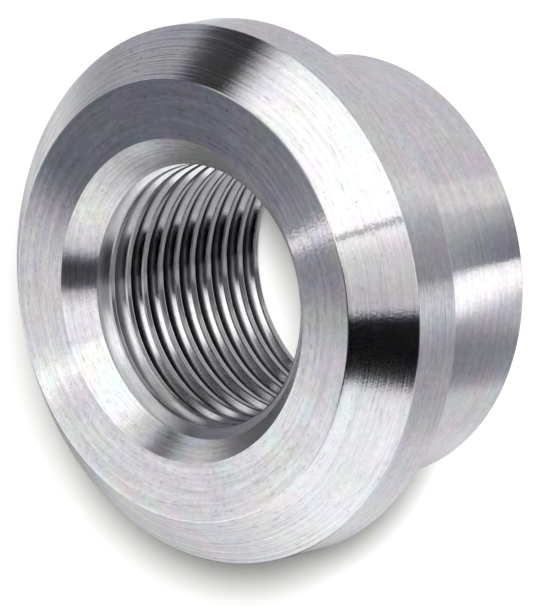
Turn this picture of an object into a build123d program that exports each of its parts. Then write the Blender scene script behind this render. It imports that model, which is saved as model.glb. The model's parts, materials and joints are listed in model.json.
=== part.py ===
from build123d import *
from math import radians, tan
import os

# Weld bung: a threaded boss turned from one piece of round bar.
# It stands on the lower end of its spigot, with the flange and the wide mouth of the bore at the top.
# Z is the turning axis, and the origin is the centre of the spigot's lower end. Lengths are in millimetres.

# Flange: the wide head, whose upper corner is bevelled at 45 degrees for the weld
flange_diameter = 34.0
rim_width = 3.4
weld_bevel = 3.1

# Spigot: the plain shank that drops into the hole in the pipe or tank
spigot_diameter = 27.0
spigot_length = 10.5

# Bore: drilled to the tapping size of an M18 x 1.5 thread
thread_diameter = 18.0
thread_pitch = 1.5

# Countersink: the wide mouth of the bore in the flange's face
countersink_depth = 1.95
countersink_angle = 90.0

# Corners as the lathe tool leaves them
outer_corner_radius = 0.1
shoulder_corner_radius = 0.4
bore_exit_chamfer = 0.7

# Colour of the bare metal
bright_metal = Color(0.78, 0.78, 0.79)

# Radii and heights that follow from the sizes above
flange_radius = flange_diameter / 2
face_radius = flange_radius - weld_bevel
spigot_radius = spigot_diameter / 2
bore_radius = (thread_diameter - thread_pitch) / 2
shoulder_height = spigot_length
bevel_height = shoulder_height + rim_width
face_height = bevel_height + weld_bevel


def turned_section():
    """Half of the section that the lathe tool cuts on the outside, from the axis outwards."""
    outline = Polyline(
        (0, 0),
        (spigot_radius, 0),
        (spigot_radius, shoulder_height),
        (flange_radius, shoulder_height),
        (flange_radius, bevel_height),
        (face_radius, face_height),
        (0, face_height),
        close=True,
    )
    return Plane.XZ * make_face(outline)


def circle_at(solid, height, radius):
    """The circular edge of the solid at this height whose radius is nearest to the one given."""
    circles = solid.edges().filter_by(GeomType.CIRCLE).filter_by_position(Axis.Z, height, height)
    return circles.sort_by(lambda edge: abs(edge.radius - radius))[0]


def turned_blank():
    """The outside turned to size, with a tool-nose radius in the shoulder and its corners broken."""
    blank = revolve(turned_section(), Axis.Z)
    blank = fillet(circle_at(blank, shoulder_height, spigot_radius), shoulder_corner_radius)
    outer_corners = [
        circle_at(blank, 0, spigot_radius),
        circle_at(blank, shoulder_height, flange_radius),
        circle_at(blank, bevel_height, flange_radius),
        circle_at(blank, face_height, face_radius),
    ]
    return fillet(outer_corners, outer_corner_radius)


def bored(blank):
    """The blank drilled through at the tapping size, then countersunk above and chamfered below."""
    holed = blank - Pos(0, 0, face_height / 2) * Cylinder(bore_radius, face_height)
    countersink_width = countersink_depth * tan(radians(countersink_angle / 2))
    mouth = circle_at(holed, face_height, bore_radius)
    face = holed.faces().sort_by(Axis.Z)[-1]
    holed = chamfer(mouth, countersink_width, countersink_depth, reference=face)
    return chamfer(circle_at(holed, 0, bore_radius), bore_exit_chamfer)


weld_bung = bored(turned_blank())
weld_bung.label = "weld_bung"
weld_bung.color = bright_metal

os.makedirs("parts", exist_ok=True)
export_step(weld_bung, "parts/weld_bung.step")
print("volume", round(weld_bung.volume, 1), "valid", weld_bung.is_valid)
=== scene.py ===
import json
import math

import bpy
from mathutils import Matrix, Vector


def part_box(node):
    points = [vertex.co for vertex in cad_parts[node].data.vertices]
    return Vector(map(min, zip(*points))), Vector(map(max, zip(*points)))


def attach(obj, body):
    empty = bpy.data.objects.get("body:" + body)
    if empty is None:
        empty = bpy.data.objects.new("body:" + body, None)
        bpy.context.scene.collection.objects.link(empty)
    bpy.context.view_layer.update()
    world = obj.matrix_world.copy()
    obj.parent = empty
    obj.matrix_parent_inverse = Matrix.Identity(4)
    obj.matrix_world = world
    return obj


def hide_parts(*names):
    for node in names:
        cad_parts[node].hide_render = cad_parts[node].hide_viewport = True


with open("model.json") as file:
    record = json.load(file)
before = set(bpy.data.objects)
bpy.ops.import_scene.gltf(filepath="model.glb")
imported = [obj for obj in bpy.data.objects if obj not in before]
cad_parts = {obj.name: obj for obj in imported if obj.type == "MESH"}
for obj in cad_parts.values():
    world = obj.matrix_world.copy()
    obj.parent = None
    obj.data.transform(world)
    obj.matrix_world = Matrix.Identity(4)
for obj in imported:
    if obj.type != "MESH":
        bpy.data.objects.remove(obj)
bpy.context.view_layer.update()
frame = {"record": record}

# Weld bung: one turned piece. The solid gives every main size, and the thread is cut here.
# Lengths are in metres. Z is the turning axis, and the flange's face is at the top.
MM = 0.001
NODE = "weld_bung"
mounts = {mount["name"]: mount for mount in frame["record"]["mounts"]}
low_corner, high_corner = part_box(NODE)

# Sizes that the frame gives
flange_radius = min(high_corner.x, high_corner.y)
face_height = high_corner.z
spigot_radius = mounts["spigot"]["dims"]["r_mm"] * MM
bore_radius = mounts["thread"]["dims"]["r_mm"] * MM
shoulder_height = mounts["shoulder"]["pos_m"][2]

# Sizes that match the solid's section
weld_bevel = 3.1 * MM
countersink_depth = 1.95 * MM
exit_chamfer = 0.7 * MM
outer_corner_radius = 0.1 * MM
shoulder_corner_radius = 0.4 * MM
face_radius = flange_radius - weld_bevel
bevel_height = face_height - weld_bevel
mouth_radius = bore_radius + countersink_depth
mouth_height = face_height - countersink_depth

# Thread: M18 x 1.5, right-handed, with the standard 60 degree flanks and blunted crests.
# The cutter starts inside the bore, by the overcut, and runs past both ends, by the spare turns.
thread_radius = 9.0 * MM
thread_pitch = 1.5 * MM
flank_angle = math.radians(30)
root_width = thread_pitch / 8
blunting = 0.06 * MM
blunt_angle = math.radians(60)
overcut = 0.06 * MM
spare_turns = 3
thread_start = math.radians(-8.4)

# Fineness of the turned and threaded surfaces, in steps round the axis
STEPS_ROUND = 256

# Tolerances: points this close are the same, and faces this close lie on the same surface
same_point = 0.001 * MM
ring_slack = 0.02 * MM
cone_slack = 0.03 * MM
crest_slack = 0.1 * MM
smooth_angle = math.radians(12)


def circle_edges(mesh, radius, height):
    """Selects the ring of edges at this radius and height, and nothing else."""

    def on_ring(vertex):
        away = math.hypot(vertex.co.x, vertex.co.y) - radius
        return abs(away) < ring_slack and abs(vertex.co.z - height) < ring_slack

    for vertex in mesh.vertices:
        vertex.select = False
    for face in mesh.polygons:
        face.select = False
    for edge in mesh.edges:
        edge.select = all(on_ring(mesh.vertices[i]) for i in edge.vertices)


def turned(name, outline):
    """A ring turned to an outline of (radius, height) corners.

    It starts as a circle, which is extruded and resized to each corner in turn.
    """
    bpy.ops.object.select_all(action="DESELECT")
    radius, height = outline[0]
    bpy.ops.mesh.primitive_circle_add(vertices=STEPS_ROUND, radius=radius, location=(0, 0, height))
    piece = bpy.context.object
    piece.name = piece.data.name = name
    bpy.ops.object.transform_apply()
    bpy.ops.object.mode_set(mode="EDIT")
    bpy.ops.mesh.select_all(action="SELECT")
    for (radius, height), (next_radius, next_height) in zip(outline, outline[1:] + outline[:1]):
        rise = (0, 0, next_height - height)
        grow = next_radius / radius
        bpy.ops.mesh.extrude_region_move(TRANSFORM_OT_translate={"value": rise})
        bpy.ops.transform.resize(value=(grow, grow, 1), center_override=(0, 0, next_height))
    bpy.ops.mesh.select_all(action="SELECT")
    bpy.ops.mesh.remove_doubles(threshold=same_point)
    bpy.ops.mesh.normals_make_consistent(inside=False)
    bpy.ops.object.mode_set(mode="OBJECT")
    return piece


def rounded(piece, radius, height, width, segments):
    """Rounds the ring of edges at this radius and height."""
    circle_edges(piece.data, radius, height)
    bpy.ops.object.mode_set(mode="EDIT")
    bpy.ops.mesh.select_mode(type="EDGE")
    bpy.ops.mesh.bevel(offset=width, segments=segments, profile=0.5, affect="EDGES")
    bpy.ops.object.mode_set(mode="OBJECT")


def turned_body():
    """The bung before threading: spigot, shoulder, rim, bevel, face, countersink and plain bore."""
    outline = [
        (bore_radius + exit_chamfer, 0),
        (spigot_radius, 0),
        (spigot_radius, shoulder_height),
        (flange_radius, shoulder_height),
        (flange_radius, bevel_height),
        (face_radius, face_height),
        (mouth_radius, face_height),
        (bore_radius, mouth_height),
        (bore_radius, exit_chamfer),
    ]
    body = turned("threaded_bung", outline)
    rounded(body, spigot_radius, shoulder_height, shoulder_corner_radius, 4)
    rounded(body, spigot_radius, 0, outer_corner_radius, 2)
    rounded(body, flange_radius, shoulder_height, outer_corner_radius, 2)
    rounded(body, flange_radius, bevel_height, outer_corner_radius / 2, 2)
    rounded(body, face_radius, face_height, outer_corner_radius / 2, 2)
    return body


def select_edge(mesh, reach):
    """Selects the edge that lies at this distance along X, and nothing else."""
    for vertex in mesh.vertices:
        vertex.select = abs(vertex.co.x - reach) < same_point
    for edge in mesh.edges:
        edge.select = all(mesh.vertices[i].select for i in edge.vertices)
    for face in mesh.polygons:
        face.select = False


def thread_cutter():
    """The helical ridge that a tap's teeth sweep: its section is screwed up through the whole bore."""
    inner_radius = bore_radius - overcut
    blunt_radius = bore_radius + blunting
    depth = thread_radius - blunt_radius
    blunt_width = root_width + 2 * depth * math.tan(flank_angle)
    inner_width = blunt_width + 2 * (blunt_radius - inner_radius) * math.tan(blunt_angle)
    turns = math.ceil((face_height - low_corner.z) / thread_pitch) + spare_turns
    phase = 0.5 - thread_start / (2 * math.pi)
    start_height = face_height + (phase - turns + 1) * thread_pitch
    bpy.ops.object.select_all(action="DESELECT")
    bpy.ops.mesh.primitive_plane_add(
        size=1,
        rotation=(math.pi / 2, 0, 0),
        location=((inner_radius + blunt_radius) / 2, 0, start_height),
    )
    cutter = bpy.context.object
    cutter.scale = (blunt_radius - inner_radius, inner_width, 1)
    bpy.ops.object.transform_apply()
    select_edge(cutter.data, blunt_radius)
    bpy.ops.object.mode_set(mode="EDIT")
    bpy.ops.mesh.select_mode(type="EDGE")
    centre = (0, 0, start_height)
    bpy.ops.transform.resize(value=(1, 1, blunt_width / inner_width), center_override=centre)
    bpy.ops.mesh.extrude_region_move(TRANSFORM_OT_translate={"value": (depth, 0, 0)})
    bpy.ops.transform.resize(value=(1, 1, root_width / blunt_width), center_override=centre)
    bpy.ops.object.mode_set(mode="OBJECT")
    select_edge(cutter.data, blunt_radius)
    bpy.ops.object.mode_set(mode="EDIT")
    bpy.ops.mesh.dissolve_edges(use_verts=False)
    bpy.ops.object.mode_set(mode="OBJECT")
    sweep = cutter.modifiers.new("sweep", "SCREW")
    sweep.axis = "Z"
    sweep.angle = 2 * math.pi
    sweep.screw_offset = thread_pitch
    sweep.iterations = turns
    sweep.steps = sweep.render_steps = STEPS_ROUND
    bpy.ops.object.modifier_apply(modifier=sweep.name)
    bpy.ops.object.mode_set(mode="EDIT")
    bpy.ops.mesh.select_all(action="SELECT")
    bpy.ops.mesh.fill_holes(sides=6)
    bpy.ops.mesh.normals_make_consistent(inside=False)
    bpy.ops.object.mode_set(mode="OBJECT")
    return cutter


def cut(piece, cutter):
    """Takes the cutter's shape out of the piece, and removes the cutter."""
    bpy.ops.object.select_all(action="DESELECT")
    bpy.context.view_layer.objects.active = piece
    piece.select_set(True)
    taken = piece.modifiers.new("taken", "BOOLEAN")
    taken.operation = "DIFFERENCE"
    taken.solver = "EXACT"
    taken.object = cutter
    bpy.ops.object.modifier_apply(modifier=taken.name)
    bpy.data.objects.remove(cutter)


# Materials


def new_group(name, inputs, outputs):
    """A shader node group with named sockets: inputs are (name, type, value), outputs (name, type)."""
    group = bpy.data.node_groups.new(name, "ShaderNodeTree")
    for label, kind, value in inputs:
        socket = group.interface.new_socket(label, in_out="INPUT", socket_type=kind)
        if value is not None:
            socket.default_value = value
    for label, kind in outputs:
        group.interface.new_socket(label, in_out="OUTPUT", socket_type=kind)
    return group


def add(tree, kind, x=0, y=0, **settings):
    """A node of this kind with these settings."""
    node = tree.nodes.new(kind)
    node.location = (x, y)
    for key, value in settings.items():
        setattr(node, key, value)
    return node


def maths(tree, operation, first, second=None, x=0, y=0):
    """A Math node fed by sockets or plain numbers, and its result."""
    node = add(tree, "ShaderNodeMath", x, y, operation=operation)
    for socket, value in zip(node.inputs, (first, second)):
        if isinstance(value, (int, float)):
            socket.default_value = value
        elif value is not None:
            tree.links.new(value, socket)
    return node.outputs[0]


def turned_place_group():
    """Where a point lies on a turned surface.

    Across is the distance along the section. Around is the direction from the axis, Tangent the direction
    round it, and Radius the distance from it.
    """
    group = new_group(
        "turned place",
        [
            ("Position", "NodeSocketVector", None),
            ("Run", "NodeSocketFloat", 1.0),
            ("Rise", "NodeSocketFloat", 0.0),
        ],
        [
            ("Across", "NodeSocketFloat"),
            ("Around", "NodeSocketVector"),
            ("Tangent", "NodeSocketVector"),
            ("Radius", "NodeSocketFloat"),
        ],
    )
    inputs = add(group, "NodeGroupInput", -900)
    outputs = add(group, "NodeGroupOutput", 900)
    parts = add(group, "ShaderNodeSeparateXYZ", -700)
    group.links.new(inputs.outputs["Position"], parts.inputs[0])
    flat = add(group, "ShaderNodeCombineXYZ", -500, 200)
    group.links.new(parts.outputs["X"], flat.inputs["X"])
    group.links.new(parts.outputs["Y"], flat.inputs["Y"])
    reach = add(group, "ShaderNodeVectorMath", -300, 200, operation="LENGTH")
    group.links.new(flat.outputs[0], reach.inputs[0])
    outward = maths(group, "MULTIPLY", reach.outputs["Value"], inputs.outputs["Run"], -100, 200)
    upward = maths(group, "MULTIPLY", parts.outputs["Z"], inputs.outputs["Rise"], -100)
    group.links.new(maths(group, "ADD", outward, upward, 100), outputs.inputs["Across"])
    direction = add(group, "ShaderNodeVectorMath", -100, 400, operation="NORMALIZE")
    group.links.new(flat.outputs[0], direction.inputs[0])
    group.links.new(direction.outputs[0], outputs.inputs["Around"])
    tangent = add(group, "ShaderNodeCombineXYZ", -100, -300)
    group.links.new(maths(group, "MULTIPLY", parts.outputs["Y"], -1.0, -300, -300), tangent.inputs["X"])
    group.links.new(parts.outputs["X"], tangent.inputs["Y"])
    group.links.new(tangent.outputs[0], outputs.inputs["Tangent"])
    group.links.new(reach.outputs["Value"], outputs.inputs["Radius"])
    return group


def tool_mark_group():
    """The height and shade of tool marks round the axis, which fade in and out along their length."""
    group = new_group(
        "tool marks",
        [
            ("Across", "NodeSocketFloat", None),
            ("Around", "NodeSocketVector", None),
            ("Width", "NodeSocketFloat", 0.2 * MM),
            ("Depth", "NodeSocketFloat", 0.002 * MM),
            ("Breaks", "NodeSocketFloat", 1.0),
            ("Lean", "NodeSocketFloat", 0.0),
        ],
        [("Height", "NodeSocketFloat"), ("Shade", "NodeSocketFloat")],
    )
    inputs = add(group, "NodeGroupInput", -1100)
    outputs = add(group, "NodeGroupOutput", 900)
    place = along_marks(group, inputs, inputs.outputs["Width"], inputs.outputs["Breaks"])
    wide = add(group, "ShaderNodeTexNoise", -300, 100, noise_dimensions="3D")
    wide.inputs["Scale"].default_value = 1.0
    wide.inputs["Detail"].default_value = 1.5
    wide.inputs["Roughness"].default_value = 0.55
    group.links.new(place, wide.inputs["Vector"])
    mark = maths(group, "MULTIPLY", wide.outputs["Fac"], inputs.outputs["Depth"], 0, 100)
    lean = maths(group, "MULTIPLY", inputs.outputs["Across"], inputs.outputs["Lean"], 0, -100)
    group.links.new(maths(group, "SUBTRACT", mark, lean, 200), outputs.inputs["Height"])
    group.links.new(wide.outputs["Fac"], outputs.inputs["Shade"])
    return group


def along_marks(group, inputs, width, breaks):
    """A noise coordinate that runs quickly across the tool marks and slowly along them."""
    step = maths(group, "DIVIDE", inputs.outputs["Across"], width, -900)
    spread = add(group, "ShaderNodeVectorMath", -900, 200, operation="SCALE")
    group.links.new(inputs.outputs["Around"], spread.inputs[0])
    if isinstance(breaks, float):
        spread.inputs["Scale"].default_value = breaks
    else:
        group.links.new(breaks, spread.inputs["Scale"])
    parts = add(group, "ShaderNodeSeparateXYZ", -700, 200)
    group.links.new(spread.outputs[0], parts.inputs[0])
    place = add(group, "ShaderNodeCombineXYZ", -500, 200)
    group.links.new(parts.outputs["X"], place.inputs["X"])
    group.links.new(parts.outputs["Y"], place.inputs["Y"])
    group.links.new(step, place.inputs["Z"])
    return place.outputs[0]


# Wear: sizes of its marks, and the noise levels at which a mark starts and is full
speck_size = 0.35 * MM
speck_levels = (0.69, 0.75)
scratch_width = 0.12 * MM
scratch_breaks = 14.0
scratch_levels = (0.6, 0.72)
mottle_size = 0.4 * MM
stain_size = 2.5 * MM


def wear_group():
    """The grain's height, and how streaks, mottling, specks, scratches and stains change the colour."""
    group = new_group(
        "wear",
        [
            ("Position", "NodeSocketVector", None),
            ("Across", "NodeSocketFloat", None),
            ("Around", "NodeSocketVector", None),
            ("Grain", "NodeSocketFloat", 0.2 * MM),
            ("Grain Depth", "NodeSocketFloat", 0.002 * MM),
            ("Marks", "NodeSocketFloat", 0.5),
            ("Streak", "NodeSocketFloat", 0.2),
            ("Mottle", "NodeSocketFloat", 0.2),
            ("Specks", "NodeSocketFloat", 0.3),
            ("Scratches", "NodeSocketFloat", 0.1),
            ("Stain", "NodeSocketFloat", 0.08),
        ],
        [("Height", "NodeSocketFloat"), ("Tone", "NodeSocketColor")],
    )
    inputs = add(group, "NodeGroupInput", -1300)
    outputs = add(group, "NodeGroupOutput", 1200)
    fine = add(group, "ShaderNodeTexNoise", -500, 400, noise_dimensions="3D")
    fine.inputs["Detail"].default_value = 1.0
    group.links.new(inputs.outputs["Position"], fine.inputs["Vector"])
    fineness = maths(group, "DIVIDE", 1.0, inputs.outputs["Grain"], -700, 400)
    group.links.new(fineness, fine.inputs["Scale"])
    height = maths(group, "MULTIPLY", fine.outputs["Fac"], inputs.outputs["Grain Depth"], -200, 400)
    group.links.new(height, outputs.inputs["Height"])

    def dark_marks(noise, levels, amount, y):
        """How bright the metal stays: 1 where there is no mark, and less where the noise is high."""
        start, full = levels
        edge = add(group, "ShaderNodeMapRange", -200, y, interpolation_type="SMOOTHSTEP")
        edge.inputs["From Min"].default_value = start
        edge.inputs["From Max"].default_value = full
        group.links.new(noise.outputs["Fac"], edge.inputs["Value"])
        depth = maths(group, "MULTIPLY", edge.outputs[0], amount, 0, y)
        return maths(group, "SUBTRACT", 1.0, depth, 200, y)

    dots = add(group, "ShaderNodeTexNoise", -500, 100, noise_dimensions="3D")
    dots.inputs["Scale"].default_value = 1 / speck_size
    dots.inputs["Detail"].default_value = 2.0
    group.links.new(inputs.outputs["Position"], dots.inputs["Vector"])
    speck = dark_marks(dots, speck_levels, inputs.outputs["Specks"], 100)
    lines = add(group, "ShaderNodeTexNoise", -300, -200, noise_dimensions="3D")
    lines.inputs["Scale"].default_value = 1.0
    lines.inputs["Detail"].default_value = 1.0
    group.links.new(along_marks(group, inputs, scratch_width, scratch_breaks), lines.inputs["Vector"])
    scratch = dark_marks(lines, scratch_levels, inputs.outputs["Scratches"], -200)
    patches = add(group, "ShaderNodeTexNoise", -500, 700, noise_dimensions="3D")
    patches.inputs["Scale"].default_value = 1 / mottle_size
    patches.inputs["Detail"].default_value = 3.0
    patches.inputs["Roughness"].default_value = 0.7
    group.links.new(inputs.outputs["Position"], patches.inputs["Vector"])

    def swing(noise, amount, y):
        """A brightness that swings about 1 as the noise swings about a half."""
        away = maths(group, "SUBTRACT", noise, 0.5, -200, y)
        return maths(group, "ADD", maths(group, "MULTIPLY", away, amount, 0, y), 1.0, 200, y)

    mottled = swing(patches.outputs["Fac"], inputs.outputs["Mottle"], 700)
    streaked = swing(inputs.outputs["Marks"], inputs.outputs["Streak"], 900)
    blotched = maths(group, "MULTIPLY", mottled, streaked, 400, 800)
    tone = maths(group, "MULTIPLY", maths(group, "MULTIPLY", speck, scratch, 400), blotched, 500)
    cloud = add(group, "ShaderNodeTexNoise", -500, -500, noise_dimensions="3D")
    cloud.inputs["Scale"].default_value = 1 / stain_size
    cloud.inputs["Detail"].default_value = 3.0
    group.links.new(inputs.outputs["Position"], cloud.inputs["Vector"])
    centred = add(group, "ShaderNodeVectorMath", -300, -500, operation="SUBTRACT")
    group.links.new(cloud.outputs["Color"], centred.inputs[0])
    centred.inputs[1].default_value = (0.5, 0.5, 0.5)
    tinted = add(group, "ShaderNodeVectorMath", -100, -500, operation="SCALE")
    group.links.new(centred.outputs[0], tinted.inputs[0])
    group.links.new(inputs.outputs["Stain"], tinted.inputs["Scale"])
    whole = add(group, "ShaderNodeVectorMath", 100, -500, operation="ADD")
    group.links.new(tinted.outputs[0], whole.inputs[0])
    whole.inputs[1].default_value = (1, 1, 1)
    worn = add(group, "ShaderNodeVectorMath", 700, -200, operation="SCALE")
    group.links.new(whole.outputs[0], worn.inputs[0])
    group.links.new(tone, worn.inputs["Scale"])
    group.links.new(worn.outputs[0], outputs.inputs["Tone"])
    return group


turned_place = turned_place_group()
tool_marks = tool_mark_group()
wear = wear_group()

# Turn of the brushed highlight: a quarter turn spreads it across the tool marks
ANISOTROPIC_TURN = 0.25

# Bright metal, and the painted shade low in the thread's grooves, which comes in between two radii
metal_colour = (0.82, 0.82, 0.82)
root_shade_colour = (0.1, 0.1, 0.1)
root_shade_from = thread_radius - 0.5 * MM
root_shade_to = thread_radius - 0.25 * MM

# The first turns are rougher, where the tap started, and the painted root shade fades out over them
first_turns = 2 * thread_pitch
first_roughness = 0.28


def turned_metal(name, slope, lean, roughness, marks, worn, colour=metal_colour, shaded_root=False):
    """Bright metal with tool marks round the axis.

    Slope is the section's angle from level, and lean is how far the marks tip the surface, in degrees.
    Marks are their width, depth and breaks. Worn is the grain's size and depth, then how strong the
    streaks, mottling, specks, scratches and stains are. Shaded-root metal carries painted shade towards
    the thread's root, which fades out over the first turns, where the metal is also rougher.
    """
    material = bpy.data.materials.new(name)
    material.use_nodes = True
    tree = material.node_tree
    shader = tree.nodes["Principled BSDF"]
    position = add(tree, "ShaderNodeTexCoord", -1300)
    place = add(tree, "ShaderNodeGroup", -1100, node_tree=turned_place)
    tree.links.new(position.outputs["Object"], place.inputs["Position"])
    place.inputs["Run"].default_value = math.cos(math.radians(slope))
    place.inputs["Rise"].default_value = math.sin(math.radians(slope))
    cut_marks = add(tree, "ShaderNodeGroup", -800, 200, node_tree=tool_marks)
    signs = add(tree, "ShaderNodeGroup", -800, -200, node_tree=wear)
    tree.links.new(position.outputs["Object"], signs.inputs["Position"])
    for node in (cut_marks, signs):
        tree.links.new(place.outputs["Across"], node.inputs["Across"])
        tree.links.new(place.outputs["Around"], node.inputs["Around"])
    for label, value in zip(("Width", "Depth", "Breaks"), marks):
        cut_marks.inputs[label].default_value = value
    tree.links.new(cut_marks.outputs["Shade"], signs.inputs["Marks"])
    labels = ("Grain", "Grain Depth", "Streak", "Mottle", "Specks", "Scratches", "Stain")
    for label, value in zip(labels, worn):
        signs.inputs[label].default_value = value
    cut_marks.inputs["Lean"].default_value = math.tan(math.radians(lean))
    bump = add(tree, "ShaderNodeBump", -300, -300)
    bump.inputs["Distance"].default_value = 1.0
    height = maths(tree, "ADD", cut_marks.outputs["Height"], signs.outputs["Height"], -500, -300)
    tree.links.new(height, bump.inputs["Height"])
    tree.links.new(bump.outputs["Normal"], shader.inputs["Normal"])
    tree.links.new(place.outputs["Tangent"], shader.inputs["Tangent"])
    paint = add(tree, "ShaderNodeMix", -300, 300, data_type="RGBA", blend_type="MULTIPLY")
    paint.inputs["Factor"].default_value = 1.0
    paint.inputs["A"].default_value = (*colour, 1)
    tree.links.new(signs.outputs["Tone"], paint.inputs["B"])
    tree.links.new(paint.outputs["Result"], shader.inputs["Base Color"])
    if shaded_root:
        # Painted shade: the colour darkens towards the thread's root, and less so in the first turns
        root_shade_mask = add(tree, "ShaderNodeMapRange", -900, 600, interpolation_type="SMOOTHSTEP")
        root_shade_mask.inputs["From Min"].default_value = root_shade_from
        root_shade_mask.inputs["From Max"].default_value = root_shade_to
        tree.links.new(place.outputs["Radius"], root_shade_mask.inputs["Value"])
        parts = add(tree, "ShaderNodeSeparateXYZ", -1100, 800)
        tree.links.new(position.outputs["Object"], parts.inputs[0])
        inside = add(tree, "ShaderNodeMapRange", -900, 900)
        inside.inputs["From Min"].default_value = mouth_height
        inside.inputs["From Max"].default_value = mouth_height - first_turns
        tree.links.new(parts.outputs["Z"], inside.inputs["Value"])
        smoother = add(tree, "ShaderNodeMapRange", -500, 900)
        smoother.inputs["To Min"].default_value = first_roughness
        smoother.inputs["To Max"].default_value = roughness
        tree.links.new(inside.outputs[0], smoother.inputs["Value"])
        tree.links.new(smoother.outputs[0], shader.inputs["Roughness"])
        # The painted root shade, mixed over the metal's colour
        root_shade_mix = add(tree, "ShaderNodeMix", -100, 400, data_type="RGBA")
        depth = maths(tree, "MULTIPLY", root_shade_mask.outputs[0], inside.outputs[0], -500, 700)
        tree.links.new(depth, root_shade_mix.inputs["Factor"])
        tree.links.new(paint.outputs["Result"], root_shade_mix.inputs["A"])
        root_shade_mix.inputs["B"].default_value = (*root_shade_colour, 1)
        tree.links.new(root_shade_mix.outputs["Result"], shader.inputs["Base Color"])
    shader.inputs["Metallic"].default_value = 1.0
    shader.inputs["Roughness"].default_value = roughness
    shader.inputs["Anisotropic"].default_value = 1.0
    shader.inputs["Anisotropic Rotation"].default_value = ANISOTROPIC_TURN
    return material


# Wear of each kind of surface, in the order that turned_metal gives
face_wear = (0.2 * MM, 0.0014 * MM, 0.55, 0.5, 0.3, 0.2, 0.3)
bevel_wear = (0.2 * MM, 0.002 * MM, 0.5, 0.3, 0.3, 0.2, 0.24)
side_wear = (0.2 * MM, 0.002 * MM, 0.35, 0.5, 0.15, 0.06, 0.3)
thread_wear = (0.1 * MM, 0.0015 * MM, 0.3, 0.3, 0.0, 0.1, 0.06)

# The thread's crests carry painted shade: darker than the rest, for the shadowed floor that they reflect
# down the bore
crest_shade_colour = (0.52, 0.52, 0.53)

finishes = {
    "faced": turned_metal(
        "faced_top",
        slope=0,
        lean=8,
        roughness=0.15,
        marks=(0.3 * MM, 0.007 * MM, 2.0),
        worn=face_wear,
    ),
    "bevel": turned_metal(
        "turned_bevel",
        slope=-45,
        lean=-5,
        roughness=0.16,
        marks=(0.22 * MM, 0.016 * MM, 1.0),
        worn=bevel_wear,
    ),
    "rim": turned_metal(
        "turned_rim",
        slope=-90,
        lean=2,
        roughness=0.25,
        marks=(0.2 * MM, 0.015 * MM, 2.0),
        worn=side_wear,
    ),
    "spigot": turned_metal(
        "turned_spigot",
        slope=-90,
        lean=3.5,
        roughness=0.14,
        marks=(0.3 * MM, 0.006 * MM, 2.0),
        worn=side_wear,
    ),
    "countersink": turned_metal(
        "countersunk_mouth",
        slope=45,
        lean=-6.5,
        roughness=0.19,
        marks=(0.2 * MM, 0.008 * MM, 1.5),
        worn=face_wear,
    ),
    "crest": turned_metal(
        "thread_crest",
        slope=90,
        lean=0,
        roughness=0.2,
        marks=(0.15 * MM, 0.005 * MM, 4.0),
        worn=thread_wear,
        colour=crest_shade_colour,
    ),
    "flank": turned_metal(
        "thread_flank",
        slope=30,
        lean=0,
        roughness=0.1,
        marks=(0.15 * MM, 0.002 * MM, 4.0),
        worn=thread_wear,
        shaded_root=True,
    ),
    "end": turned_metal(
        "faced_end",
        slope=0,
        lean=0,
        roughness=0.2,
        marks=(0.25 * MM, 0.01 * MM, 2.0),
        worn=face_wear,
    ),
}


def surface_of(face):
    """The finish of a face of the bung, by its place and by how far its normal points up and outward."""
    reach = math.hypot(face.center.x, face.center.y)
    outward = (face.normal.x * face.center.x + face.normal.y * face.center.y) / reach
    up = face.normal.z
    height = face.center.z
    in_mouth = reach < mouth_radius + ring_slack and height < face_height - ring_slack
    if in_mouth and outward < 0.1:
        on_cone = abs(reach - bore_radius - (height - mouth_height)) < cone_slack
        if on_cone and abs(up + outward) < 0.1:
            return "countersink"
        return "crest" if outward < -0.9 and reach < bore_radius + crest_slack else "flank"
    if up > 0.95:
        return "faced"
    if height > bevel_height and outward > 0.3:
        return "bevel"
    if up < -0.5:
        return "end"
    return "rim" if reach > spigot_radius + shoulder_corner_radius else "spigot"


def finish_faces(piece):
    """Gives each face its finish and smooths the round surfaces between their sharp edges."""
    order = list(finishes)
    for material in finishes.values():
        piece.data.materials.append(material)
    for face in piece.data.polygons:
        face.material_index = order.index(surface_of(face))
    bpy.ops.object.select_all(action="DESELECT")
    piece.select_set(True)
    bpy.context.view_layer.objects.active = piece
    bpy.ops.object.shade_smooth_by_angle(angle=smooth_angle)


# Camera: a long lens from the photograph's side, rolled so that the axis lies across the picture
camera_height_angle = math.radians(46.98)
camera_roll = math.radians(-101.69)
camera_lens = 500.0
camera_distance = 30.75 * flange_radius
centre_right = 0.3525 * flange_radius
centre_up = -0.0051 * flange_radius


def camera_axes():
    """The camera's right, up and back directions in the part's frame."""
    back = Vector((0, -math.cos(camera_height_angle), math.sin(camera_height_angle)))
    level = Vector((1, 0, 0))
    steep = back.cross(level)
    right = level * math.cos(camera_roll) + steep * math.sin(camera_roll)
    return right, back.cross(right), back


def add_camera():
    """The photograph's camera, aimed a little beside the middle of the flange's face."""
    right, up, back = camera_axes()
    face_centre = Vector((0, 0, face_height))
    place = face_centre + right * centre_right + up * centre_up + back * camera_distance
    data = bpy.data.cameras.new("camera")
    data.lens = camera_lens
    camera = bpy.data.objects.new("camera", data)
    turn = Matrix((right, up, back)).transposed().to_4x4()
    camera.matrix_world = Matrix.Translation(place) @ turn
    data.clip_start = 0.05
    data.clip_end = 5.0
    bpy.context.scene.collection.objects.link(camera)
    bpy.context.scene.camera = camera


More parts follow.
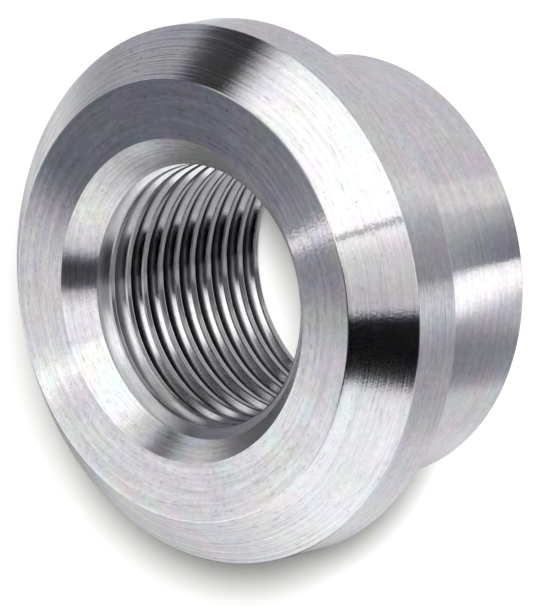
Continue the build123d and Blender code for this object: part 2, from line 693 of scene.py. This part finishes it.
# Studio: soft boxes and dark flags stand far off all round, as the polished metal shows them.
# Each is a soft-edged box: degrees right of and above the camera, turn, half width, half height,
# softness of the edge, brightness.
surround = 0.62
studio = {
    "lower left sheet": (-69, -55, -2, 65, 32, 0.32, 1.06),
    "top soft box": (-18, 33, 17, 43, 30, 0.38, 1.29),
    "small soft box": (19, 1, -12, 17, 10, 0.38, 1.09),
    "left flag": (-96, 16, 22, 26, 33, 0.21, 0.13),
    "far left soft box": (-142, -22, -8, 17, 18, 0.90, 1.47),
    "low left soft box": (-95, -27, 74, 9, 13, 0.59, 0.83),
    "upper left flag": (-53, 41, -57, 31, 5, 0.33, 0.00),
    "right flag": (76, -18, 41, 39, 18, 0.38, 0.15),
    "right strip": (111, -8, -19, 14, 5, 0.1, 1.45),
    "low right flag": (111, -50, -55, 11, 9, 0.52, 0.19),
    "low right soft box": (50, -110, 3, 16, 61, 0.21, 0.84),
    "bottom flag": (-98, -130, 7, 55, 13, 0.06, 0.00),
    "camera flag": (-14, -28, 0, 44, 11, 0.35, 0.0),
    "grey strip": (-44, -15, -4, 20, 9, 0.20, 0.12),
    "far low flag": (-135, 68, -76, 4, 42, 0.56, 0.02),
    "high left flag": (-51, 71, 24, 13, 11, 0.62, 0.00),
    "right sliver": (85, 47, 21, 18, 5, 0.51, 0.75),
    "near sliver": (-68, -10, 20, 11.1, 0.5, 0.60, 1.50),
    "left sliver": (-101, -26, 21, 10.4, 0.8, 0.60, 1.32),
    "thin flag": (-6, 9, 17, 14, 0.8, 0.3, 0.1),
    "thread flag": (-27, -19, 0, 10, 13, 0.3, 0.0),
    "low thread flag": (-45, 25, -57, 12, 8.5, 0.4, 0.02),
    "back sheet": (-75, 145, -33, 11, 7, 0.4, 1.46),
    "grey patch": (-33, -50, -8, 9, 13, 0.36, 0.41),
    "far sheet": (-144, -5.5, 7, 16, 9.6, 0.15, 0.92),
}

# How square the soft boxes' corners are: 2 would be an ellipse
SQUARENESS = 4.0

# A box fades out this near to square from its centre, as a cosine, so that it shows on one side only
SIDE_FADE = 1 / 12


def soft_box_group():
    """How much of a soft-edged box, seen from the object, covers a direction."""
    group = new_group(
        "soft box",
        [
            ("Direction", "NodeSocketVector", None),
            ("Centre", "NodeSocketVector", None),
            ("Wide", "NodeSocketVector", None),
            ("High", "NodeSocketVector", None),
            ("Softness", "NodeSocketFloat", 0.5),
        ],
        [("Cover", "NodeSocketFloat")],
    )
    inputs = add(group, "NodeGroupInput", -900)
    outputs = add(group, "NodeGroupOutput", 900)

    def along(axis, y):
        node = add(group, "ShaderNodeVectorMath", -600, y, operation="DOT_PRODUCT")
        group.links.new(inputs.outputs["Direction"], node.inputs[0])
        group.links.new(inputs.outputs[axis], node.inputs[1])
        return node.outputs["Value"]

    wide, high, ahead = along("Wide", 200), along("High", 0), along("Centre", -200)
    across = maths(group, "POWER", maths(group, "ABSOLUTE", wide), SQUARENESS)
    upright = maths(group, "POWER", maths(group, "ABSOLUTE", high), SQUARENESS)
    away = maths(group, "POWER", maths(group, "ADD", across, upright), 1 / SQUARENESS)
    edge = add(group, "ShaderNodeMapRange", 300, 0, interpolation_type="SMOOTHSTEP")
    half = maths(group, "MULTIPLY", inputs.outputs["Softness"], 0.5)
    group.links.new(away, edge.inputs["Value"])
    group.links.new(maths(group, "SUBTRACT", 1.0, half), edge.inputs["From Min"])
    group.links.new(maths(group, "ADD", 1.0, half), edge.inputs["From Max"])
    edge.inputs["To Min"].default_value = 1.0
    edge.inputs["To Max"].default_value = 0.0
    near_side = add(group, "ShaderNodeMapRange", 300, -300, interpolation_type="SMOOTHSTEP")
    near_side.inputs["From Min"].default_value = -SIDE_FADE
    near_side.inputs["From Max"].default_value = SIDE_FADE
    group.links.new(ahead, near_side.inputs["Value"])
    cover = maths(group, "MULTIPLY", edge.outputs[0], near_side.outputs[0], 600)
    group.links.new(cover, outputs.inputs["Cover"])
    return group


def box_vectors(right_angle, up_angle, turn, half_width, half_height):
    """Where a soft box stands, and its two half-size vectors divided by their lengths squared."""
    right, up, back = camera_axes()
    off = math.radians(math.hypot(right_angle, up_angle))
    round_camera = math.atan2(up_angle, right_angle)
    sideways = right * math.cos(round_camera) + up * math.sin(round_camera)
    centre = sideways * math.sin(off) + back * math.cos(off)
    swing = back.rotation_difference(centre)
    across = swing @ right
    upright = swing @ up
    angle = math.radians(turn)
    wide = across * math.cos(angle) + upright * math.sin(angle)
    high = upright * math.cos(angle) - across * math.sin(angle)
    return centre, wide / math.sin(math.radians(half_width)), high / math.sin(math.radians(half_height))


# What colour a soft box of each brightness has in the metal: the dark ones look bluish
BRIGHTEST = 1.5
metal_tints = [
    (0.0, (0.0, 0.0, 0.0)),
    (0.03, (0.022, 0.023, 0.028)),
    (0.15, (0.145, 0.148, 0.187)),
    (0.4, (0.4, 0.395, 0.44)),
    (0.8, (0.816, 0.792, 0.824)),
    (1.1, (1.08, 1.1, 1.13)),
    (1.5, (1.5, 1.5, 1.5)),
]


def add_studio():
    """The world: soft boxes and flags for reflections, plain white for the camera, and no other light."""
    world = bpy.data.worlds.new("studio")
    bpy.context.scene.world = world
    world.use_nodes = True
    world.cycles.sampling_method = "NONE"
    tree = world.node_tree
    background = tree.nodes["Background"]
    group = soft_box_group()
    direction = add(tree, "ShaderNodeTexCoord", -1200)
    level = None
    for index, (label, box) in enumerate(studio.items()):
        centre, wide, high = box_vectors(*box[:5])
        node = add(tree, "ShaderNodeGroup", -900 + 200 * index, 200, node_tree=group, label=label)
        tree.links.new(direction.outputs["Generated"], node.inputs["Direction"])
        node.inputs["Centre"].default_value = centre
        node.inputs["Wide"].default_value = wide
        node.inputs["High"].default_value = high
        node.inputs["Softness"].default_value = box[5]
        mix = add(tree, "ShaderNodeMix", -800 + 200 * index, 0, data_type="FLOAT", label=label)
        tree.links.new(node.outputs["Cover"], mix.inputs["Factor"])
        if level is None:
            mix.inputs["A"].default_value = surround
        else:
            tree.links.new(level, mix.inputs["A"])
        mix.inputs["B"].default_value = box[6]
        level = mix.outputs["Result"]
    tint = add(tree, "ShaderNodeValToRGB", 2500, 0)
    tint.color_ramp.elements.remove(tint.color_ramp.elements[1])
    for place, colour in metal_tints:
        stop = tint.color_ramp.elements.new(place / BRIGHTEST)
        stop.color = (*[part / BRIGHTEST for part in colour], 1)
    tint.color_ramp.elements.remove(tint.color_ramp.elements[0])
    tree.links.new(maths(tree, "DIVIDE", level, BRIGHTEST, 2300), tint.inputs["Fac"])
    path = add(tree, "ShaderNodeLightPath", 2500, 600)
    studio_light = add(tree, "ShaderNodeBackground", 2900, 0)
    studio_light.inputs["Strength"].default_value = BRIGHTEST
    tree.links.new(tint.outputs["Color"], studio_light.inputs["Color"])
    backdrop = add(tree, "ShaderNodeBackground", 2900, 300)
    backdrop.inputs["Color"].default_value = (1, 1, 1, 1)
    tree.links.new(path.outputs["Is Camera Ray"], backdrop.inputs["Strength"])
    seen = add(tree, "ShaderNodeMixShader", 3200)
    tree.links.new(path.outputs["Is Glossy Ray"], seen.inputs["Fac"])
    tree.links.new(backdrop.outputs[0], seen.inputs[1])
    tree.links.new(studio_light.outputs[0], seen.inputs[2])
    tree.links.new(seen.outputs[0], tree.nodes["World Output"].inputs["Surface"])
    tree.nodes.remove(background)


# Shadow lamp: a soft lamp near the camera, which only the floor shows.
# The floor's own glow fills the shadow and tints it.
lamp_up = math.radians(6)
lamp_right = math.radians(-0.5)
lamp_softness = math.radians(10)
floor_width = 2.0
floor_glow = 0.2
shadow_tint = (1.0, 0.99, 0.9)
floor_paint = 0.8


def add_floor():
    """A white floor that glows a little and keeps the soft shadow, with the lamp that casts it."""
    bpy.ops.object.select_all(action="DESELECT")
    bpy.ops.mesh.primitive_plane_add(size=floor_width)
    floor = bpy.context.object
    floor.name = "floor"
    floor.visible_glossy = False
    material = bpy.data.materials.new("white_floor")
    material.use_nodes = True
    tree = material.node_tree
    shader = tree.nodes["Principled BSDF"]
    shader.inputs["Base Color"].default_value = (floor_paint, floor_paint, floor_paint, 1)
    shader.inputs["Roughness"].default_value = 1.0
    shader.inputs["Specular IOR Level"].default_value = 0.0
    shader.inputs["Emission Color"].default_value = (*shadow_tint, 1)
    shader.inputs["Emission Strength"].default_value = floor_glow
    floor.data.materials.append(material)
    right, up, back = camera_axes()
    towards = (back + up * math.tan(lamp_up) + right * math.tan(lamp_right)).normalized()
    data = bpy.data.lights.new("shadow_lamp", "SUN")
    data.angle = lamp_softness
    data.energy = (1 - floor_glow * min(shadow_tint)) * math.pi / (floor_paint * towards.z)
    lamp = bpy.data.objects.new("shadow_lamp", data)
    lamp.matrix_world = towards.to_track_quat("Z", "Y").to_matrix().to_4x4()
    lamp.visible_glossy = False
    bpy.context.scene.collection.objects.link(lamp)


body = turned_body()
cut(body, thread_cutter())
finish_faces(body)
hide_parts(NODE)
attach(body, "root")

add_camera()
add_studio()
add_floor()
bpy.context.scene.view_settings.view_transform = "Standard"
